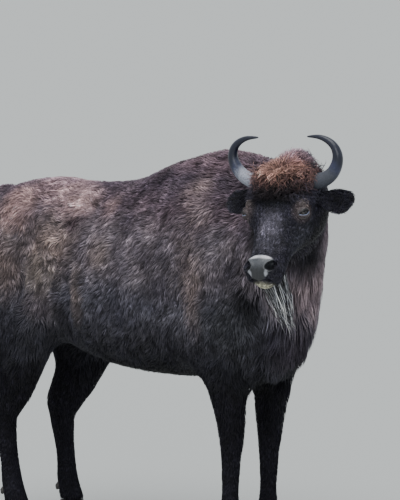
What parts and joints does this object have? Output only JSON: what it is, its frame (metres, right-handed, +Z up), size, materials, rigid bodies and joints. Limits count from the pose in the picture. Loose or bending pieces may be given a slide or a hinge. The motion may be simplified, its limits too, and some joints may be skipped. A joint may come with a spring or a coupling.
{
  "type": "standing wisent",
  "caption": "Life-size still wisent, or European bison, standing on all four hooves with its head turned to its right, horns curved up, mane and beard.",
  "frame": {"origin": "on the floor, below the middle of the whole animal's box", "axes": "+X the way the trunk faces, +Y the animal's left side, +Z up"},
  "size_m": [2.2964, 0.8236, 1.73],
  "materials": {
    "coat": "dull hair",
    "mane": "dull long hair",
    "face": "short hair with a faint sheen",
    "leg": "short dull hair",
    "horn": "smooth horn, pale at the root and near black at the tip",
    "eye": "wet and glossy",
    "hoof": "dull horn",
    "beard": "thin pale hair"
  },
  "bodies": {
    "root": {"tail_dock": "coat", "tail_switch": "leg", "trunk_forequarters": "coat", "trunk_barrel": "coat", "trunk_hindquarters": "coat", "neck": "mane", "beard": "beard", "eye_left": "eye", "horn_left": "horn", "ear_left": "face", "eye_right": "eye", "horn_right": "horn", "ear_right": "face", "head": "face", "foreleg_left_dewclaw_left": "hoof", "foreleg_left_hoof_left": "hoof", "foreleg_left_dewclaw_right": "hoof", "foreleg_left_hoof_right": "hoof", "foreleg_left_upper": "leg", "foreleg_left_shank": "leg", "foreleg_right_dewclaw_left": "hoof", "foreleg_right_hoof_left": "hoof", "foreleg_right_dewclaw_right": "hoof", "foreleg_right_hoof_right": "hoof", "foreleg_right_upper": "leg", "foreleg_right_shank": "leg", "hindleg_left_dewclaw_left": "hoof", "hindleg_left_hoof_left": "hoof", "hindleg_left_dewclaw_right": "hoof", "hindleg_left_hoof_right": "hoof", "hindleg_left_upper": "leg", "hindleg_left_shank": "leg", "hindleg_right_dewclaw_left": "hoof", "hindleg_right_hoof_left": "hoof", "hindleg_right_dewclaw_right": "hoof", "hindleg_right_hoof_right": "hoof", "hindleg_right_upper": "leg", "hindleg_right_shank": "leg"}
  },
  "joints": []
}
